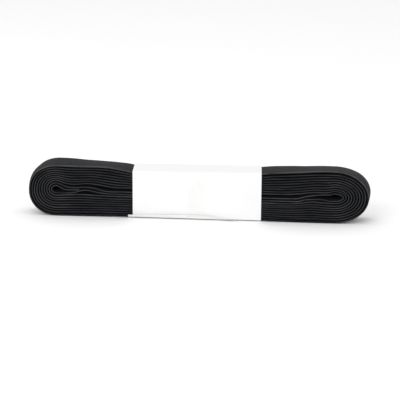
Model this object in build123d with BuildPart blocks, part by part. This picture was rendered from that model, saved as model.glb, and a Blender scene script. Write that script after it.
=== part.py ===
from build123d import *
import os

# A flat-wound strap bundle held by a paper band, in millimetres.
# +X runs along the bundle, -Y is its front (the edge-on side that carries the band's lap) and
# +Z is up. The origin is on the ground under the middle of the bundle.

# The strap: one continuous flat webbing, wound into a long racetrack and laid on its folds.
strap_width = 25.0
strap_thickness = 1.8
ply_pitch = 1.92
turns = 10
core_gap = 0.8
bundle_length = 277.0
strap_end_x = 30.0
climb_half_length = 28.0

# The paper band: one sheet wrapped once round the bundle. Its inner end is tucked under the
# strap, and its outer end turns up over the front panel as a low lap that runs out to the right.
sheet_width = 104.0
sheet_length = 148.0
paper_thickness = 0.2
paper_clearance = 0.15
layer_gap = 0.05
crease_gap = 0.05
paper_corner_radius = 0.3
band_centre_x = -1.8
lap_height = 3.4
lap_level_length = 62.0
lap_length = 84.0
lap_end_height = 0.4
lap_lift = 0.05

# The clear adhesive tape that holds the lap to the front panel.
tape_width = 12.7
tape_film = 0.06
tape_centre_x = -2.6
tape_top_height = 32.0
tape_bottom_height = 1.5
tape_step_height = 0.6
tape_step_clearance = 0.15
tape_bend_radius = 0.08
tape_gap = 0.01

# Worked out from the sizes above.
layer_step = paper_thickness + layer_gap
strap_underside = paper_thickness + layer_step + paper_clearance
core_level = strap_underside + strap_thickness / 2 + turns * ply_pitch
outer_fold_radius = ((2 * turns - 1) * ply_pitch + core_gap) / 2
stack_height = 2 * outer_fold_radius + strap_thickness
fold_centre_x = bundle_length / 2 - outer_fold_radius - strap_thickness / 2

band_start_x = band_centre_x - sheet_width / 2
wall_y = strap_width / 2 + paper_clearance + paper_thickness / 2
bottom_z = paper_thickness / 2
tuck_z = bottom_z + layer_step
top_z = strap_underside + stack_height + paper_clearance + paper_thickness / 2
lap_y = -wall_y - layer_step
bottom_edge_y = lap_y + paper_thickness / 2 + crease_gap
crease_z = bottom_z + lap_lift
corner_mid_radius = paper_corner_radius + paper_thickness / 2
panels_length = (top_z - tuck_z) + 2 * wall_y + (top_z - bottom_z) + (wall_y - bottom_edge_y)
tuck_length = sheet_length - panels_length - lap_height
tape_panel_y = -wall_y - paper_thickness / 2 - tape_gap - tape_film / 2
tape_lap_y = lap_y - paper_thickness / 2 - tape_gap - tape_film / 2
tape_step_bottom = lap_height + tape_step_clearance


def lower_level(turn):
    """Height of the lower run of a turn. Turn 1 is the innermost."""
    return core_level - turn * ply_pitch


def upper_left_level(turn):
    """Height of an upper run where it meets the left folds. Run 0 is the strap's inner end."""
    if turn == 0:
        return core_level
    return core_level + core_gap + turn * ply_pitch


def upper_right_level(turn):
    """Height of an upper run where it meets the right folds, one pitch lower than at the left."""
    if turn == 1:
        return core_level
    return upper_left_level(turn) - ply_pitch


def fold(side, level_from, level_to):
    """Half-circle fold at one end of the bundle. side is -1 at the left and 1 at the right."""
    middle = (level_from + level_to) / 2
    tip_x = fold_centre_x + abs(level_from - level_to) / 2
    ThreePointArc(
        (side * fold_centre_x, level_from), (side * tip_x, middle), (side * fold_centre_x, level_to)
    )


def climb(level_from, level_to):
    """An upper run from the right folds to the left ones, rising in one gentle S at the middle."""
    start = (climb_half_length, level_from)
    middle = (0, (level_from + level_to) / 2)
    end = (-climb_half_length, level_to)
    Line((fold_centre_x, level_from), start)
    first_bend = TangentArc(start, middle, tangent=(-1, 0))
    TangentArc(middle, end, tangent=first_bend % 1)
    Line(end, (-fold_centre_x, level_to))


def strap_route():
    """The strap's centre line from its inner end to its outer end."""
    Line((-strap_end_x, core_level), (-fold_centre_x, core_level))
    for turn in range(1, turns + 1):
        fold(-1, upper_left_level(turn - 1), lower_level(turn))
        Line((-fold_centre_x, lower_level(turn)), (fold_centre_x, lower_level(turn)))
        fold(1, lower_level(turn), upper_right_level(turn))
        if turn < turns:
            climb(upper_right_level(turn), upper_left_level(turn))
    Line((fold_centre_x, upper_right_level(turns)), (strap_end_x, upper_right_level(turns)))


# The strap, wound from its inner end outwards.
with BuildPart() as strap:
    with BuildLine(Plane.XZ) as winding:
        strap_route()
    with BuildSketch(Plane(winding.line @ 0, x_dir=(0, 1, 0), z_dir=winding.line % 0)):
        Rectangle(strap_width, strap_thickness)
    sweep(path=winding.wires()[0])

# The band from its tucked inner end: front, top, back and bottom, up to the lap's crease.
with BuildPart() as band_wrap:
    with BuildLine(Plane.YZ.offset(band_centre_x)) as wrap_route:
        FilletPolyline(
            (tuck_length - wall_y, tuck_z),
            (-wall_y, tuck_z),
            (-wall_y, top_z),
            (wall_y, top_z),
            (wall_y, bottom_z),
            (bottom_edge_y, bottom_z),
            radius=corner_mid_radius,
        )
    with BuildSketch(Plane(wrap_route.line @ 0, x_dir=(1, 0, 0), z_dir=wrap_route.line % 0)):
        Rectangle(sheet_width, paper_thickness)
    sweep(path=wrap_route.wires()[0])

# The band's outer end, level along its left half and then running down to nothing. Its rounded
# lower edge is centred on the crease that it turns about.
with BuildPart() as band_lap:
    with BuildSketch(Plane.XZ.offset(-lap_y - paper_thickness / 2)):
        with BuildLine():
            Polyline(
                (band_start_x, crease_z),
                (band_start_x, lap_height),
                (band_start_x + lap_level_length, lap_height),
                (band_start_x + lap_length, lap_end_height),
                (band_start_x + lap_length, crease_z),
                close=True,
            )
        make_face()
    extrude(amount=paper_thickness)
    with BuildSketch(Plane.YZ.offset(band_start_x)):
        with Locations((lap_y, crease_z)):
            Circle(paper_thickness / 2)
    extrude(amount=lap_length)

# The tape, stuck on the front panel and down over the lap.
with BuildPart() as clear_tape:
    with BuildLine(Plane.YZ.offset(tape_centre_x)) as tape_route:
        FilletPolyline(
            (tape_panel_y, tape_top_height),
            (tape_panel_y, tape_step_bottom + tape_step_height),
            (tape_lap_y, tape_step_bottom),
            (tape_lap_y, tape_bottom_height),
            radius=tape_bend_radius,
        )
    with BuildSketch(Plane(tape_route.line @ 0, x_dir=(1, 0, 0), z_dir=tape_route.line % 0)):
        Rectangle(tape_width, tape_film)
    sweep(path=tape_route.wires()[0])

strap.part.label = "strap"
band_wrap.part.label = "band_wrap"
band_lap.part.label = "band_lap"
clear_tape.part.label = "clear_tape"

os.makedirs("parts", exist_ok=True)
for piece in (strap, band_wrap, band_lap, clear_tape):
    export_step(piece.part, f"parts/{piece.part.label}.step")

strap_length = winding.wires()[0].length
swept_volume = strap_length * strap_width * strap_thickness
print(f"strap length {strap_length:.0f} mm, volume {strap.part.volume:.0f} of {swept_volume:.0f} mm3")
print(f"stack height {stack_height:.2f}, top of the paper {top_z + paper_thickness / 2:.2f}")
print(f"tucked end {tuck_length:.2f}, crease at y {lap_y:.3f} z {crease_z:.3f}")
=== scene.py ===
import bisect
import math

import bmesh
import bpy
import numpy as np
from mathutils import Matrix, Vector


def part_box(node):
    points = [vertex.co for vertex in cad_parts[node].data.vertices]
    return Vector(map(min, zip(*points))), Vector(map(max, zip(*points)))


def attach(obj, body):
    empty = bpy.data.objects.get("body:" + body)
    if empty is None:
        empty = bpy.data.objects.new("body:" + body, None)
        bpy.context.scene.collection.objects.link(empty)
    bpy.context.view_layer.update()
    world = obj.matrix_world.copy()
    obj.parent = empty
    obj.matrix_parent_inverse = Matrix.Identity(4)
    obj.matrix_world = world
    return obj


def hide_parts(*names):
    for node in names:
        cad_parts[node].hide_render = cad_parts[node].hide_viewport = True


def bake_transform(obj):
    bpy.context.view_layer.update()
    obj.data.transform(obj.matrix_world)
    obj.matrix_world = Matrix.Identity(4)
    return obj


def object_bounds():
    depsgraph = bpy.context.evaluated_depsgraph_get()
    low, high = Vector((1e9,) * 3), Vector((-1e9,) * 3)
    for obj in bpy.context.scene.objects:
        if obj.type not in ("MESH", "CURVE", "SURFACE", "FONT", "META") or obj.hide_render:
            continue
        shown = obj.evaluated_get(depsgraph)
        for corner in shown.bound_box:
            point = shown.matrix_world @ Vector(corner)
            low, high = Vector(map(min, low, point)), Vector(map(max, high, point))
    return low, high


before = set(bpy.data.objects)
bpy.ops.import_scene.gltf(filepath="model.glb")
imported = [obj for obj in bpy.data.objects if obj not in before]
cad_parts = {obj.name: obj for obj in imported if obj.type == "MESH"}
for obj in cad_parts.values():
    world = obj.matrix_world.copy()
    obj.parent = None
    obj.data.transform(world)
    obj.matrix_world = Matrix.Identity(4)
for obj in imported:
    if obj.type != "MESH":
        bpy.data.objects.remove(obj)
cad_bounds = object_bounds()

# Lengths in this script are in millimetres, and are turned into metres as a mesh is made. Only
# the stage and the materials that say so use metres.
MM = 0.001

# Edges sharper than this are shaded as edges.
strap_sharp_degrees = 60
paper_sharp_degrees = 40

# Slack for comparing two lengths that are worked out in different ways.
rounding = 0.01

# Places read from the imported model.
strap_low, strap_high = (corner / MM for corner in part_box("strap"))
band_low, band_high = (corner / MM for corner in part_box("band_wrap"))
lap_low, lap_high = (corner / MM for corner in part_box("band_lap"))
tape_low, tape_high = (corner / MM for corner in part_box("clear_tape"))

# The strap: ten turns of woven webbing lying on its folds. Along the straights each face rises
# by the crown towards the middle of the strap, so that the plies touch there. A folded ply is
# squeezed thinner. Turn numbers above outermost_from are the outermost turn's.
turns = 10
outermost_from = turns - 0.5
ply_thickness = 1.62
fold_thickness = 1.42
selvage_radius = 0.74
crown = 0.24

# How finely the strap is divided along the straights, in the folds and around its section.
run_step = 3.0
fold_steps = 12
fold_steps_per_turn = 3
corner_steps = 4
face_steps = 6

# The folds run from a station, where they meet the straights, to a tip. Each turn's tip lies a
# pitch further out. A squareness of 2 is an ellipse, and more is squarer.
left_station = strap_low.x + 23.3
right_station = strap_high.x - 30.5
left_tip = strap_low.x + 19.1
left_tip_pitch = 1.98
right_tip = strap_high.x - 22.5
right_tip_pitch = 2.21
left_squareness = 2.14
right_lower_squareness = 2.12
right_upper_squareness = 1.98

# The strap's two ends. The top ply starts at the outer one, and the upper plies draw together
# to make room for it from extra_ply_x. Their turn numbers go up by one about the middle.
outer_end_x = 30.0
inner_end_x = strap_low.x + 41.5
extra_ply_x = -50.0
turn_change_x = 40.0

# The stack lies this much taller than the heights below say, and a gap shows under its top ply.
loft = 1.021
top_gap = 0.55

# Heights of the innermost plies and the outermost ones, from left to right. The heights of those
# between are shared out evenly.
inner_stub_heights = (
    (left_station, 24.5),
    (-112.1, 23.0),
    (-108.7, 21.3),
    (-105.6, 21.1),
    (-100.2, 21.3),
    (inner_end_x, 21.7),
)
first_lower_heights = (
    (left_station, 18.5),
    (-104.9, 18.7),
    (-100.9, 19.1),
    (-98.9, 19.8),
    (-95.1, 20.9),
    (-89.0, 21.0),
    (-83.3, 19.8),
    (-76.5, 18.9),
    (-68.0, 18.7),
    (-45.0, 18.6),
    (45.0, 17.0),
    (74.0, 17.0),
    (80.2, 17.1),
    (85.1, 18.5),
    (91.2, 18.9),
    (99.6, 18.9),
    (106.4, 17.7),
    (right_station, 17.9),
)
second_lower_heights = (
    (left_station, 16.6),
    (-97.0, 17.5),
    (-77.0, 16.9),
    (-45.0, 16.75),
    (45.0, 15.3),
    (78.0, 15.4),
    (85.1, 16.2),
    (91.2, 17.0),
    (97.5, 16.5),
    (right_station, 16.0),
)
last_lower_heights = (
    (left_station, 0.75),
    (-100.0, 1.1),
    (-62.0, 2.1),
    (-50.0, 2.15),
    (50.0, 1.75),
    (60.0, 1.35),
    (95.0, 1.15),
    (right_station, 1.1),
)
first_upper_heights = (
    (left_station, 26.6),
    (-113.0, 26.0),
    (-110.4, 24.8),
    (-107.0, 23.5),
    (-103.9, 23.1),
    (-99.0, 23.2),
    (-93.4, 23.6),
    (-87.3, 23.5),
    (-80.5, 22.0),
    (-77.9, 21.2),
    (-74.0, 20.7),
    (-62.0, 20.6),
    (50.0, 19.2),
    (74.0, 19.2),
    (80.2, 19.5),
    (84.8, 20.9),
    (87.9, 21.6),
    (93.1, 22.4),
    (101.7, 23.1),
    (106.4, 23.4),
    (right_station, 24.2),
)
second_upper_heights = (
    (left_station, 28.7),
    (-113.8, 28.5),
    (-110.4, 27.1),
    (-106.3, 26.2),
    (-102.0, 25.7),
    (-97.5, 26.0),
    (-91.7, 26.7),
    (-81.6, 26.1),
    (-75.1, 25.0),
    (-70.0, 24.3),
    (-55.0, 24.1),
    (50.0, 22.6),
    (74.0, 22.6),
    (80.2, 23.1),
    (88.8, 24.3),
    (95.6, 24.75),
    (104.6, 25.0),
    (right_station, 26.1),
)
top_heights = (
    (left_station, 40.9),
    (-96.5, 40.75),
    (-80.5, 41.0),
    (-72.4, 40.6),
    (-64.4, 39.3),
    (-59.0, 38.3),
    (-54.0, 37.1),
    (-46.0, 36.8),
    (0.0, 37.4),
    (50.0, 38.1),
    (60.3, 39.2),
    (68.4, 39.7),
    (76.4, 40.3),
    (84.5, 40.8),
    (92.5, 41.4),
    (100.6, 41.7),
    (right_station, 41.6),
)

# How far the back of the top ply stands above its front, from left to right.
top_tilts = (
    (-125.0, 0.8),
    (-104.0, 0.6),
    (-90.0, -0.3),
    (-74.0, -0.8),
    (-56.0, 0.6),
    (0.0, 0.2),
    (52.0, 0.0),
    (72.0, -0.4),
    (92.0, -1.15),
    (110.0, -1.1),
    (121.0, -0.9),
    (131.0, -0.3),
)

# How far each turn's front edge lies behind the middle of the bundle's front, from the stub to
# the outermost turn, which stands a little proud.
turn_setbacks = (0.15, 0.05, 0.25, -0.05, 0.2, 0.0, 0.25, -0.08, 0.1, 0.3, -0.3)

# The turns' edges also wander a little. The band holds them nearly flush within band_grip_x of
# the middle, and they are free beyond band_free_x.
edge_wander = 0.07
edge_wander_length = 37.0
band_grip_x = 48.0
band_free_x = 62.0
gripped_freedom = 0.4

# Small waves in how the plies lie on each other.
short_ripple = 0.07
short_ripple_length = 9.7
short_ripple_phase = 1.0
long_ripple = 0.08
long_ripple_length = 29.0

# The ends of the bundle aren't quite square: the back of the right end stands further out.
# The folds also curl across their width, and the plies bow up between their edges, most in the
# middle of the stack. At the back the plies close the gap under the top one.
right_flare = 2.2
end_start = 95.0
fold_curl = 0.8
depth_bow = 1.7
gap_closed_x = 60.0
ground_clearance = 0.03

# A ply thins and its selvage starts to show from this far inside a station to this far beyond.
fold_run_in = 14.0
fold_run_out = 2.0

# The hollows inside the innermost folds, as x and z, close up towards the back. The core is the
# share of the reach and of the height within which they close the most.
hollows = ((-114.0, 21.3), (108.5, 20.9))
hollow_reach = 9.0
hollow_reach_core = 0.3
hollow_height = 6.0
hollow_height_core = 0.2
hollow_pinch = 0.75

# The shade kept at each corner of the strap is painted light: 0 is painted shade in a crevice,
# face_crest is a face's own colour and 1 is a painted highlight on the crest of a selvage. The
# painted crest highlights show fully in the folds and on the turns up to clear_turn, and by
# straight_show along the straights of the turns from dim_turn on.
crest_gain = 1.15
face_crest = 0.5
straight_show = 0.5
clear_turn = 1.5
dim_turn = 3.5

# The paper band. It is skewed a little, trimmed at its left edge, and taller at its right edge
# and lower at its left one by the taper. Underneath it is held off the ground by the rise, and
# its right side has settled part of the way back. Its top dips towards the front, most at the
# left.
paper_thickness = 0.2
paper_columns = 64
paper_step = 1.5
paper_skew = 0.012
paper_trim = 0.3
paper_taper = 0.4
paper_rise = 0.75
paper_settle = 0.4
settle_start_x = -10.0
settle_end_x = 45.0
front_dip = 0.5
front_dip_slope = 0.3
layer_step = 0.25

# The upright panels swell out, with faint ripples, and are drawn in at their foot.
panel_swell = 0.06
panel_ripple = 0.05
panel_ripple_lengths = (9.0, 15.0)
fine_panel_ripple = 0.04
fine_panel_ripple_lengths = (4.1, 23.0)
swell_foot = 2.0
swell_full = 9.0
swell_top_fade = 6.0
panel_tuck = 0.12
tuck_height = 8.0

# The lap leans away from the front panel, more steeply towards its upper edge, and the tape
# holds part of it closer. Where the lap is low its crease is tighter.
lap_rows = 6
lap_lean = 1.6
lean_power = 1.3
tape_hold = 0.3
tape_hold_reach = 9.0
crease_radius = 0.6
crease_share = 0.7
lap_left_x = band_low.x - 3.2

# The lap's upper edge, from left to right.
lap_top_heights = (
    (-57.5, 2.9),
    (-50.0, 3.2),
    (-14.0, 3.9),
    (4.0, 3.7),
    (13.7, 3.0),
    (17.7, 2.4),
    (23.0, 1.6),
    (31.0, 1.0),
)

# The tape. It steps off the panel just above the lap's upper edge, and is down on the lap just
# below it. It wrinkles from the step up to wrinkle_top, in two crossing waves. Its left edge
# flares out at the foot.
tape_thickness = 0.06
tape_clearance = 0.05
tape_rows = 48
tape_columns = 28
tape_step_above = 1.2
tape_step_below = 0.1
tape_flare = 0.5
flare_top = 8.0
flare_full = 3.0
flare_inner = -0.2
wrinkle_height = 0.10
wrinkle_top = 14.0
wrinkle_full = 6.0
wrinkle_below = 0.5
wrinkle_above = 1.5
wrinkle_waves = ((2.1, 0.7), (0.9, -1.3))
tape_middle_x = (tape_low.x + tape_high.x) / 2


def through(points, x):
    """Height at x of the smooth curve through a few points, given from left to right."""
    xs = [point[0] for point in points]
    zs = [point[1] for point in points]
    slopes = np.gradient(zs, xs)
    i = min(max(bisect.bisect(xs, x) - 1, 0), len(xs) - 2)
    gap = xs[i + 1] - xs[i]
    t = min(max((x - xs[i]) / gap, 0.0), 1.0)
    ends = zs[i] * (1 + 2 * t) * (1 - t) ** 2 + zs[i + 1] * t * t * (3 - 2 * t)
    return ends + gap * t * (1 - t) * (slopes[i] * (1 - t) - slopes[i + 1] * t)


def smoothstep(low, high, x):
    """0 below low, 1 above high and smooth between them. low may be the larger of the two."""
    t = np.clip((x - low) / (high - low), 0.0, 1.0)
    return t * t * (3 - 2 * t)


def new_object(name, mesh):
    """Puts a mesh in the scene."""
    thing = bpy.data.objects.new(name, mesh)
    bpy.context.scene.collection.objects.link(thing)
    return thing


# ---------------------------------------------------------------- strap


def lower_height(turn, x):
    """Height of a lower run. Turn 1 is the innermost, and the last one lies on the ground."""
    if turn == 1:
        return through(first_lower_heights, x)
    inner = through(second_lower_heights, x)
    outer = through(last_lower_heights, x)
    return inner + (outer - inner) * (turn - 2) / (turns - 2)


def upper_height(turn, x):
    """Height of an upper run. Run 0 is the short stub at the strap's inner end."""
    if turn == 0:
        return through(inner_stub_heights, x)
    if turn == 1:
        return through(first_upper_heights, x)
    inner = through(second_upper_heights, x)
    outer = through(top_heights, x)
    steps_to_top = turns - 3 + smoothstep(extra_ply_x, outer_end_x, x)
    gap = top_gap if turn < turns else 0.0
    return inner + (outer - inner - gap) * (turn - 2) / steps_to_top


def run(height, turn, x_from, x_to, turn_to):
    """Points of one run of the strap, both ends included, as x, z and turn number."""
    count = max(2, round(abs(x_to - x_from) / run_step))
    xs = np.linspace(x_from, x_to, count + 1)
    share = smoothstep(turn_change_x, -turn_change_x, xs)
    return [(x, height(turn, x), turn + (turn_to - turn) * done) for x, done in zip(xs, share)]


def fold(station, tip, turn, z_from, z_to):
    """Inner points of a fold: half of an ellipse, squared a little, that reaches to its tip."""
    middle = (z_from + z_to) / 2
    half = (z_from - z_to) / 2
    count = fold_steps + fold_steps_per_turn * turn
    points = []
    for i in range(1, count):
        angle = math.pi * i / count
        z_side = half if angle < math.pi / 2 else -half
        squareness = right_upper_squareness if z_side > 0 else right_lower_squareness
        if tip < station:
            squareness = left_squareness
        out = math.sin(angle) ** (2 / squareness)
        up = math.copysign(abs(math.cos(angle)) ** (2 / squareness), math.cos(angle))
        points.append((station + (tip - station) * out, middle + half * up, turn))
    return points


def strap_route():
    """The strap's centre line from its inner end to its outer end, as x, z and turn number."""
    route = run(upper_height, 0, inner_end_x, left_station, 1)
    for turn in range(1, turns + 1):
        tip = left_tip - left_tip_pitch * (turn - 1)
        z_from = upper_height(turn - 1, left_station)
        route += fold(left_station, tip, turn, z_from, lower_height(turn, left_station))
        route += run(lower_height, turn, left_station, right_station, turn)
        tip = right_tip + right_tip_pitch * (turn - 1)
        z_from = lower_height(turn, right_station)
        route += fold(right_station, tip, turn, z_from, upper_height(turn, right_station))
        stop = outer_end_x if turn == turns else left_station
        route += run(upper_height, turn, right_station, stop, min(turn + 1, turns))
    return np.array(route)


def strap_section(rise):
    """Outline of the strap's section as y and height, clockwise from its front top edge. Its
    faces rise a little towards the middle of the strap."""
    flat = (strap_high.y - strap_low.y) / 2 - selvage_radius
    level = ply_thickness / 2 - selvage_radius
    outline = []
    for side in (1, -1):
        for i in range(face_steps):
            share = 2 * i / face_steps - 1
            height = ply_thickness / 2 + rise * (1 - share ** 2)
            outline.append((side * flat * share, side * height))
        for centre, first in ((side * level, 0.0), (-side * level, math.pi / 2)):
            for i in range(corner_steps):
                angle = first + math.pi / 2 * i / corner_steps
                out = side * (flat + selvage_radius * math.sin(angle))
                outline.append((out, centre + side * selvage_radius * math.cos(angle)))
    return np.array(outline)


def close_hollow(x, z, back, hollow):
    """Draws the plies about one hollow together towards the back of the bundle."""
    near_x = 1 - smoothstep(hollow_reach_core, 1.0, np.abs(x - hollow[0]) / hollow_reach)
    near_z = 1 - smoothstep(hollow_height_core, 1.0, np.abs(z - hollow[1]) / hollow_height)
    return z + (hollow[1] - z) * hollow_pinch * back * near_x * near_z


def edge_setback(x, along, turn_at):
    """How far back the strap lies from the middle of the bundle's depth."""
    free = smoothstep(band_grip_x, band_free_x, np.abs(x))
    setback = np.interp(turn_at, range(turns + 1), turn_setbacks)
    wander = edge_wander * np.sin(along / edge_wander_length)
    return (gripped_freedom + (1 - gripped_freedom) * free) * (setback + wander)


def ply_ripple(along):
    """How far the small waves lift the strap."""
    short = short_ripple * np.sin(along / short_ripple_length + short_ripple_phase)
    return short + long_ripple * np.sin(along / long_ripple_length)


def fold_share(x):
    """0 along the straights and 1 in the folds."""
    left = smoothstep(left_station + fold_run_in, left_station - fold_run_out, x)
    right = smoothstep(right_station - fold_run_in, right_station + fold_run_out, x)
    return left + right


def shape_across(x, y, z, line_x, turn_at):
    """Moves the rings' points as the strap's shape changes from its front edge to its back one,
    and gives their new x and z."""
    back = np.clip((y - strap_low.y) / (strap_high.y - strap_low.y), 0.0, 1.0)
    bulge = np.sin(math.pi * back)
    for hollow in hollows:
        z = close_hollow(x, z, back, hollow)
    height = z / strap_high.z
    z = z + depth_bow * bulge * np.clip(4 * height * (1 - height), 0.0, 1.0)
    tilt = np.array([through(top_tilts, place) for place in line_x])
    under_top = smoothstep(0.0, gap_closed_x, line_x) * (turn_at < outermost_from)
    z = z + back * (height ** 2 * tilt[:, None] + height ** 4 * top_gap * under_top[:, None])
    right_end = smoothstep(end_start, strap_high.x, x)
    left_end = smoothstep(-end_start, strap_low.x, x)
    x = x + right_flare * back * right_end + fold_curl * bulge * (right_end - left_end)
    return x, np.maximum(z, ground_clearance)


def strap_rings():
    """Rings of the strap's surface, with the length of strap and the turn number at each, and
    how strongly the painted highlight on its edge shows: 1 in the folds and on the innermost
    turn."""
    route = strap_route()
    line = route[:, :2]
    turn_at = route[:, 2]
    ahead = np.gradient(line, axis=0)
    ahead /= np.linalg.norm(ahead, axis=1)[:, None]
    steps = np.linalg.norm(np.diff(line, axis=0), axis=1)
    along = np.concatenate(([0.0], np.cumsum(steps)))
    folded = fold_share(line[:, 0])
    section = strap_section(crown)
    folded_section = strap_section(0.0) * (1.0, fold_thickness / ply_thickness)
    across = section[:, 1] + (folded_section - section)[:, 1] * folded[:, None]
    x = line[:, 0, None] - ahead[:, 1, None] * across
    y = edge_setback(line[:, 0], along, turn_at)[:, None] + section[:, 0]
    z = (line[:, 1] + ply_ripple(along))[:, None] * loft + ahead[:, 0, None] * across
    x, z = shape_across(x, y, z, line[:, 0], turn_at)
    in_sight = np.clip(folded + smoothstep(dim_turn, clear_turn, turn_at), 0.0, 1.0)
    return np.stack((x, y, z), axis=2), along, turn_at, in_sight


def shown(crest, clarity):
    """The painted shade or highlight of a selvage whose painted crest highlight shows this
    clearly.
    """
    if crest <= face_crest:
        return crest
    return face_crest + (crest - face_crest) * (straight_show + (1 - straight_show) * clarity)


def make_strap():
    """The strap as one closed tube. Each corner keeps its place along and around the strap, and
    its painted shade or highlight. On the outermost turn the selvage's outer side gets a painted
    crest highlight where it faces up and painted crevice shade where it faces the ground."""
    rings, along, turn_at, in_sight = strap_rings()
    count, size = rings.shape[:2]
    section = strap_section(0.0)
    face_edge = (strap_high.y - strap_low.y) / 2 - selvage_radius + rounding
    crests = np.clip((1 - np.abs(section[:, 1]) / (ply_thickness / 2)) * crest_gain, 0.0, 1.0)
    sides = np.linalg.norm(section - np.roll(section, -1, axis=0), axis=1)
    around = np.concatenate(([0.0], np.cumsum(sides)))
    faces = []
    places = []
    for i in range(count - 1):
        outermost = turn_at[i] > outermost_from
        faces_up = rings[i, 0, 2] > strap_high.z / 2
        for j in range(size):
            k = (j + 1) % size
            faces.append((i * size + j, (i + 1) * size + j, (i + 1) * size + k, i * size + k))
            on_face = max(abs(section[j][0]), abs(section[k][0])) < face_edge
            for ring, spot in ((i, j), (i + 1, j), (i + 1, j + 1), (i, j + 1)):
                # Faces keep their own colour; crevices get painted shade and selvage crests a
                # painted highlight.
                if on_face:
                    shade = face_crest
                # Outermost turn: painted highlight on its upper runs, painted shade on its runs
                # near the ground.
                elif outermost and section[j][1] < 0:
                    shade = 1.0 if faces_up else 0.0
                else:
                    shade = shown(crests[spot % size], in_sight[i])
                places.append((along[ring], around[spot], shade))
    for ring, order in ((0, range(size)), (count - 1, range(size - 1, -1, -1))):
        faces.append([ring * size + j for j in order])
        places += [(along[ring], around[j], face_crest) for j in order]
    mesh = bpy.data.meshes.new("strap_webbing")
    mesh.from_pydata((rings.reshape(-1, 3) * MM).tolist(), [], faces)
    mesh.shade_smooth()
    mesh.set_sharp_from_angle(angle=math.radians(strap_sharp_degrees))
    # The third value kept here is the painted shade or highlight of each corner.
    layer = mesh.attributes.new("strap_place", "FLOAT_VECTOR", "CORNER")
    layer.data.foreach_set("vector", np.array(places, np.float32).ravel())
    return new_object("strap_webbing", mesh)


# ---------------------------------------------------------------- sheets


def rounded(corners, radii, arc_steps=7):
    """A route through the corners, each inner one rounded off, as y and z."""
    corners = [np.array(corner, float) for corner in corners]
    route = [corners[0]]
    for before, corner, after, radius in zip(corners, corners[1:], corners[2:], radii):
        into = (corner - before) / np.linalg.norm(corner - before)
        out = (after - corner) / np.linalg.norm(after - corner)
        start = corner - into * radius
        for i in range(arc_steps + 1):
            angle = math.pi / 2 * i / arc_steps
            route.append(start + radius * (into * math.sin(angle) + out * (1 - math.cos(angle))))
    route.append(corners[-1])
    return route


def divided(route, longest):
    """The same route with no step longer than longest."""
    points = [route[0]]
    for before, after in zip(route, route[1:]):
        count = max(1, math.ceil(np.linalg.norm(after - before) / longest))
        points += [before + (after - before) * i / count for i in range(1, count + 1)]
    return np.array(points)


def thick_sheet(name, grid, thickness):
    """A closed sheet of one thickness about a grid of points in rows and columns."""
    normal = np.cross(np.gradient(grid, axis=0), np.gradient(grid, axis=1))
    normal /= np.linalg.norm(normal, axis=2)[:, :, None]
    rows, columns = grid.shape[:2]
    points = np.concatenate((grid + normal * thickness / 2, grid - normal * thickness / 2))
    under = rows * columns
    faces = []
    for i in range(rows - 1):
        for j in range(columns - 1):
            a = i * columns + j
            quad = (a, a + columns, a + columns + 1, a + 1)
            faces.append(quad)
            faces.append([under + corner for corner in reversed(quad)])
    rim = list(range(columns))
    rim += [i * columns + columns - 1 for i in range(1, rows)]
    rim += [(rows - 1) * columns + j for j in range(columns - 2, -1, -1)]
    rim += [i * columns for i in range(rows - 2, 0, -1)]
    for a, b in zip(rim, rim[1:] + rim[:1]):
        faces.append((a, b, under + b, under + a))
    mesh = bpy.data.meshes.new(name)
    mesh.from_pydata((points.reshape(-1, 3) * MM).tolist(), [], faces)
    shell = bmesh.new()
    shell.from_mesh(mesh)
    bmesh.ops.recalc_face_normals(shell, faces=shell.faces)
    shell.to_mesh(mesh)
    shell.free()
    mesh.shade_smooth()
    mesh.set_sharp_from_angle(angle=math.radians(paper_sharp_degrees))
    return new_object(name, mesh)


# ---------------------------------------------------------------- paper band

# Middles of the paper's layers. The wrap and the lap meet at the seam, on the underside.
front_y = band_low.y + paper_thickness / 2
back_y = band_high.y - paper_thickness / 2
top_z = band_high.z - paper_thickness / 2
ground_layer_z = paper_thickness / 2 + paper_rise
tuck_layer_z = ground_layer_z + layer_step
lap_y = (lap_low.y + lap_high.y) / 2
band_middle_x = (band_low.x + band_high.x) / 2
tuck_end_y = 1.6
seam_y = lap_y + 2.0


def settled(x, z):
    """Height after the paper's right side has settled onto the ground."""
    return z - paper_settle * smoothstep(settle_start_x, settle_end_x, x) * (1 - z / top_z)


def panel_offset(x, z):
    """How far the upright panels stand out from flat at x and z."""
    length_x, length_z = panel_ripple_lengths
    ripple = panel_ripple * np.sin(x / length_x + z / length_z)
    length_x, length_z = fine_panel_ripple_lengths
    fine_ripple = fine_panel_ripple * np.sin(x / length_x - z / length_z)
    upright = smoothstep(swell_foot, swell_full, z)
    upright = upright * smoothstep(top_z, top_z - swell_top_fade, z)
    out = (panel_swell + (ripple + fine_ripple)) * upright
    return out - panel_tuck * smoothstep(tuck_height, 0.0, z)


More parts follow.
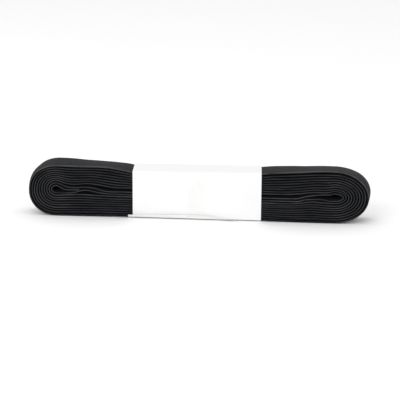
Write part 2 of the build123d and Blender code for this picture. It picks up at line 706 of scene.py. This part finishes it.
def make_wrap():
    """The paper from its tucked end: up the front, over the top, down the back and under."""
    corners = (
        (tuck_end_y, tuck_layer_z),
        (front_y, tuck_layer_z),
        (front_y, top_z),
        (back_y, top_z),
        (back_y, ground_layer_z),
        (seam_y, ground_layer_z),
    )
    bend_radii = (0.9, 0.5, 0.5, 0.6)
    route = divided(rounded(corners, bend_radii), paper_step)
    steps = np.linalg.norm(np.diff(route, axis=0), axis=1)
    along = np.concatenate(([0.0], np.cumsum(steps)))
    front_middle = -front_y + (top_z - tuck_layer_z) / 2
    across = np.linspace(-1.0, 1.0, paper_columns)
    half = (band_high.x - band_low.x - paper_trim) / 2
    middle = band_middle_x + paper_trim / 2
    x = middle + half * across[None, :] - paper_skew * (along[:, None] - front_middle)
    y = route[:, 0, None] + np.zeros_like(x)
    z = route[:, 1, None] * (1 + paper_taper / top_z * across[None, :])
    y = y + np.where(y < 0, -1, 1) * panel_offset(x, z)
    dip = front_dip - front_dip_slope * across[None, :]
    z = settled(x, z) - dip * (z / top_z) ** 2 * smoothstep(back_y, front_y, y)
    return thick_sheet("paper_wrap", np.stack((x, y, z), axis=2), paper_thickness)


def lap_lean_at(x):
    """How far the lap's upper edge stands away from the front panel. The tape holds it closer."""
    held = math.exp(-(((x - tape_middle_x) / tape_hold_reach) ** 2))
    return lap_lean * (1 - tape_hold * held)


def lap_point(x, y, z, top):
    """A point of the lap, leant forwards with its height and skewed as the whole sheet is."""
    share = max(0.0, min(1.0, (z - ground_layer_z) / (top - ground_layer_z)))
    return (x - paper_skew * z, y - lap_lean_at(x) * share ** lean_power, settled(x, z))


def make_lap():
    """The paper's outer end: the last of the underside, the crease and the low lap."""
    columns = []
    for x in np.linspace(lap_left_x, lap_high.x, paper_columns):
        top = through(lap_top_heights, x)
        radius = min(crease_radius, (top - ground_layer_z) * crease_share)
        corners = ((seam_y, ground_layer_z), (lap_y, ground_layer_z), (lap_y, top))
        route = rounded(corners, (radius,))
        rise = route[-1] - route[-2]
        upright = [route[-2] + rise * i / lap_rows for i in range(1, lap_rows + 1)]
        columns.append([lap_point(x, y, z, top) for y, z in route[:-1] + upright])
    grid = np.array(columns).transpose(1, 0, 2)
    return thick_sheet("paper_lap", grid, paper_thickness)


def wrinkle(x, z, top):
    """How far the tape's wrinkles stand out, above the lap's upper edge."""
    amount = smoothstep(wrinkle_top, wrinkle_full, z)
    amount = amount * smoothstep(top - wrinkle_below, top + wrinkle_above, z)
    waves = math.prod(math.sin(per_x * x + per_z * z) for per_x, per_z in wrinkle_waves)
    return wrinkle_height * amount * (1 + waves)


def make_tape():
    """The clear tape: flat on the front panel, then wrinkled where it goes down over the lap."""
    half = (tape_high.x - tape_low.x) / 2
    rows = []
    for z in np.linspace(tape_high.z, tape_low.z + paper_rise, tape_rows):
        row = []
        for across in np.linspace(-1.0, 1.0, tape_columns):
            x = tape_middle_x + half * across
            top = through(lap_top_heights, x)
            over = smoothstep(top + tape_step_above, top - tape_step_below, z)
            lean = lap_lean_at(x) * max(0.0, min(1.0, z / top)) ** lean_power
            lap_face = lap_y - lean - paper_thickness / 2 - tape_clearance
            panel_face = front_y - panel_offset(x, z) - paper_thickness / 2 - tape_clearance
            y = panel_face * (1 - over) + lap_face * over - wrinkle(x, z, top)
            flare = smoothstep(flare_top, flare_full, z) * smoothstep(flare_inner, -1.0, across)
            row.append((x - tape_flare * flare, y, z))
        rows.append(row)
    return thick_sheet("tape_film", np.array(rows), tape_thickness)


# ---------------------------------------------------------------- materials


def new_material(name):
    """A node material, with its tree and its shader."""
    material = bpy.data.materials.new(name)
    material.use_nodes = True
    return material, material.node_tree, material.node_tree.nodes["Principled BSDF"]


def feed(tree, socket, value):
    """Links a socket to another one, or sets its number."""
    if isinstance(value, bpy.types.NodeSocket):
        tree.links.new(value, socket)
    else:
        socket.default_value = value


def calculate(tree, operation, *values):
    """The result of one sum on sockets or numbers."""
    node = tree.nodes.new("ShaderNodeMath")
    node.operation = operation
    for socket, value in zip(node.inputs, values):
        feed(tree, socket, value)
    return node.outputs["Value"]


def noise(tree, place, scale, detail):
    """Smooth noise from 0 to 1."""
    node = tree.nodes.new("ShaderNodeTexNoise")
    node.inputs["Scale"].default_value = scale
    node.inputs["Detail"].default_value = detail
    tree.links.new(place, node.inputs["Vector"])
    return node.outputs["Fac"]


def between(tree, amount, low, high):
    """A colour from low to high by amount."""
    node = tree.nodes.new("ShaderNodeMix")
    node.data_type = "RGBA"
    feed(tree, node.inputs["Factor"], amount)
    node.inputs["A"].default_value = (*low, 1.0)
    node.inputs["B"].default_value = (*high, 1.0)
    return node.outputs["Result"]


def mixed(tree, amount, low, high):
    """A colour from one linked colour to another by amount."""
    node = tree.nodes.new("ShaderNodeMix")
    node.data_type = "RGBA"
    tree.links.new(amount, node.inputs["Factor"])
    tree.links.new(low, node.inputs["A"])
    tree.links.new(high, node.inputs["B"])
    return node.outputs["Result"]


def bump(tree, shader, height, distance, strength):
    """Gives the shader a relief. The distance is in metres."""
    node = tree.nodes.new("ShaderNodeBump")
    node.inputs["Distance"].default_value = distance
    node.inputs["Strength"].default_value = strength
    tree.links.new(height, node.inputs["Height"])
    tree.links.new(node.outputs["Normal"], shader.inputs["Normal"])


def object_place(tree):
    """Places on the object, in metres."""
    return tree.nodes.new("ShaderNodeTexCoord").outputs["Object"]


def webbing_material():
    """Black webbing in a herringbone twill, with uneven dye. Its crevices are darkened with
    painted shade, and the crests of its selvages are lightened with a painted highlight that is
    patchy."""
    rib_pitch = 1.3
    chevron_width = 3.1
    yarn_scale = 2.6
    dye_scale = 35.0
    highlight_patch_scale = 0.07
    highlight_patch_gain = 2.4
    highlight_patch_offset = -0.4
    yarn_relief = 0.5
    rib_shade = 0.5
    shade_gain = 0.75
    # The crevice colours are painted shade and the crest colours are a painted highlight.
    crevice_shade_colours = (0.0008, 0.0008, 0.0009), (0.0016, 0.0016, 0.0018)
    face_colours = (0.0030, 0.0033, 0.0045), (0.0100, 0.0108, 0.0150)
    crest_highlight_colours = (0.0400, 0.0402, 0.0410), (0.0850, 0.0852, 0.0870)
    material, tree, shader = new_material("black_webbing")
    attribute = tree.nodes.new("ShaderNodeAttribute")
    attribute.attribute_name = "strap_place"
    place = attribute.outputs["Vector"]
    parts = tree.nodes.new("ShaderNodeSeparateXYZ")
    tree.links.new(place, parts.inputs["Vector"])
    chevron = calculate(tree, "PINGPONG", parts.outputs["Y"], chevron_width)
    diagonal = calculate(tree, "ADD", parts.outputs["X"], chevron)
    wave = calculate(tree, "SINE", calculate(tree, "MULTIPLY", diagonal, 2 * math.pi / rib_pitch))
    rib = calculate(tree, "MULTIPLY_ADD", wave, 0.5, 0.5)
    yarn = noise(tree, place, yarn_scale, detail=3.0)
    dye = noise(tree, object_place(tree), dye_scale, detail=3.0)
    relief = calculate(tree, "MULTIPLY_ADD", yarn, yarn_relief, rib)
    ribbed_dye = calculate(tree, "MULTIPLY_ADD", rib, rib_shade, dye)
    shade = calculate(tree, "MULTIPLY", ribbed_dye, shade_gain)
    crevice = between(tree, shade, *crevice_shade_colours)
    face = between(tree, shade, *face_colours)
    crest = between(tree, shade, *crest_highlight_colours)
    # The painted highlight on the selvage crests comes and goes in patches.
    highlight_patch_noise = noise(tree, place, highlight_patch_scale, detail=3.0)
    highlight_patches = calculate(tree, "MULTIPLY_ADD", highlight_patch_noise, highlight_patch_gain, highlight_patch_offset)
    below_face = calculate(tree, "MULTIPLY", parts.outputs["Z"], 1 / face_crest)
    above_face = calculate(tree, "SUBTRACT", below_face, 1.0)
    painted_highlight = calculate(tree, "MULTIPLY", above_face, highlight_patches)
    # From painted crevice shade to the face's own colour, then to the patchy painted crest
    # highlight.
    colour = mixed(tree, painted_highlight, mixed(tree, below_face, crevice, face), crest)
    tree.links.new(colour, shader.inputs["Base Color"])
    bump(tree, shader, relief, distance=0.00012, strength=0.5)
    shader.inputs["Roughness"].default_value = 0.62
    shader.inputs["Specular IOR Level"].default_value = 0.06
    shader.inputs["Sheen Weight"].default_value = 0.02
    shader.inputs["Sheen Roughness"].default_value = 0.45
    return material


def paper_material():
    """Matt white paper with a faint fibre and a slightly uneven white."""
    cloud_scale = 60.0
    fibre_scale = 2600.0
    whites = (0.800, 0.801, 0.803), (0.826, 0.826, 0.823)
    material, tree, shader = new_material("white_paper")
    place = object_place(tree)
    cloudy = noise(tree, place, cloud_scale, detail=4.0)
    fibre = noise(tree, place, fibre_scale, detail=4.0)
    tree.links.new(between(tree, cloudy, *whites), shader.inputs["Base Color"])
    bump(tree, shader, fibre, distance=0.00002, strength=0.35)
    shader.inputs["Roughness"].default_value = 0.6
    shader.inputs["Specular IOR Level"].default_value = 0.3
    return material


def tape_material():
    """Clear glossy film: a faint yellow cast, fine streaks, and edges that show a little more."""
    streak_scale = 900.0
    casts = (0.93, 0.93, 0.86), (0.97, 0.97, 0.91)
    edge_width = 0.35
    film_alpha = 0.07
    extra_edge_alpha = 0.05
    material, tree, shader = new_material("clear_film")
    place = object_place(tree)
    streaks = noise(tree, place, streak_scale, detail=2.0)
    tree.links.new(between(tree, streaks, *casts), shader.inputs["Base Color"])
    parts = tree.nodes.new("ShaderNodeSeparateXYZ")
    tree.links.new(place, parts.inputs["Vector"])
    offset = calculate(tree, "SUBTRACT", parts.outputs["X"], tape_middle_x * MM)
    outwards = calculate(tree, "ABSOLUTE", offset)
    inner = ((tape_high.x - tape_low.x) / 2 - edge_width) * MM
    edge = calculate(tree, "GREATER_THAN", outwards, inner)
    alpha = calculate(tree, "MULTIPLY_ADD", edge, extra_edge_alpha, film_alpha)
    tree.links.new(alpha, shader.inputs["Alpha"])
    bump(tree, shader, streaks, distance=0.00002, strength=0.3)
    shader.inputs["Roughness"].default_value = 0.18
    return material


def floor_material():
    """Matt, nearly white floor."""
    tone_scale = 3.0
    tones = (0.95, 0.95, 0.95), (0.96, 0.96, 0.96)
    material, tree, shader = new_material("pale_floor")
    tone = noise(tree, object_place(tree), tone_scale, detail=2.0)
    tree.links.new(between(tree, tone, *tones), shader.inputs["Base Color"])
    shader.inputs["Roughness"].default_value = 0.9
    shader.inputs["Specular IOR Level"].default_value = 0.1
    return material


# ---------------------------------------------------------------- stage, in metres


def make_floor():
    """A wide plain floor, a hair below the ground so that nothing lies in its surface."""
    half = 20.0
    level = -0.0001
    mesh = bpy.data.meshes.new("studio_floor")
    sides = ((-half, -half), (half, -half), (half, half), (-half, half))
    mesh.from_pydata([(x, y, level) for x, y in sides], [], [(0, 1, 2, 3)])
    mesh.materials.append(floor_material())
    floor = new_object("studio_floor", mesh)


def make_camera():
    """The camera looks from the front, a little from above and from the right."""
    azimuth = math.radians(2.5)
    elevation = math.radians(14.0)
    roll = math.radians(1.05)
    distance = 1.226
    focal_length = 135.6
    aim_offset = Vector((0.0004, 0.0, -0.0067))
    centre = (cad_bounds[0] + cad_bounds[1]) / 2
    away = Vector((
        math.sin(azimuth) * math.cos(elevation),
        -math.cos(azimuth) * math.cos(elevation),
        math.sin(elevation),
    ))
    place = centre + away * distance
    lens = bpy.data.cameras.new("camera")
    lens.sensor_width = 36.0
    lens.lens = focal_length
    lens.clip_end = 100.0
    camera = bpy.data.objects.new("camera", lens)
    turn = (centre + aim_offset - place).to_track_quat("-Z", "Y").to_matrix().to_4x4()
    camera.matrix_world = Matrix.Translation(place) @ turn @ Matrix.Rotation(roll, 4, "Z")
    bpy.context.scene.collection.objects.link(camera)
    bpy.context.scene.camera = camera


def make_softbox(name, place, size, power):
    """A square light that faces the origin. Its power is in watts."""
    lamp = bpy.data.lights.new(name, "AREA")
    lamp.shape = "SQUARE"
    lamp.size = size
    lamp.energy = power
    softbox = bpy.data.objects.new(name, lamp)
    place = Vector(place)
    turn = (-place).to_track_quat("-Z", "Y").to_matrix().to_4x4()
    softbox.matrix_world = Matrix.Translation(place) @ turn
    bpy.context.scene.collection.objects.link(softbox)


def make_light():
    """An even white surround, one softbox at the front left and one overhead. The standard view
    keeps the paper and the floor white."""
    surround_strength = 0.91
    softbox_size = 1.2
    bpy.context.scene.view_settings.view_transform = "Standard"
    world = bpy.data.worlds.new("studio")
    world.use_nodes = True
    background = world.node_tree.nodes["Background"]
    background.inputs["Color"].default_value = (1.0, 1.0, 1.0, 1.0)
    background.inputs["Strength"].default_value = surround_strength
    bpy.context.scene.world = world
    make_softbox("front_softbox", place=(-0.9, -1.7, 1.1), size=softbox_size, power=16.0)
    make_softbox("top_softbox", place=(-0.2, 0.1, 2.0), size=softbox_size, power=4.0)


# ---------------------------------------------------------------- build

make_camera()
make_light()
make_floor()

strap = make_strap()
strap.data.materials.append(webbing_material())
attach(strap, "bundle")
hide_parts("strap")

paper = paper_material()
wrap = make_wrap()
wrap.data.materials.append(paper)
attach(wrap, "paper_band")
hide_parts("band_wrap")

lap = make_lap()
lap.data.materials.append(paper)
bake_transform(lap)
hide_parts("band_lap")

tape = make_tape()
tape.data.materials.append(tape_material())
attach(tape, "front_lap")
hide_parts("clear_tape")
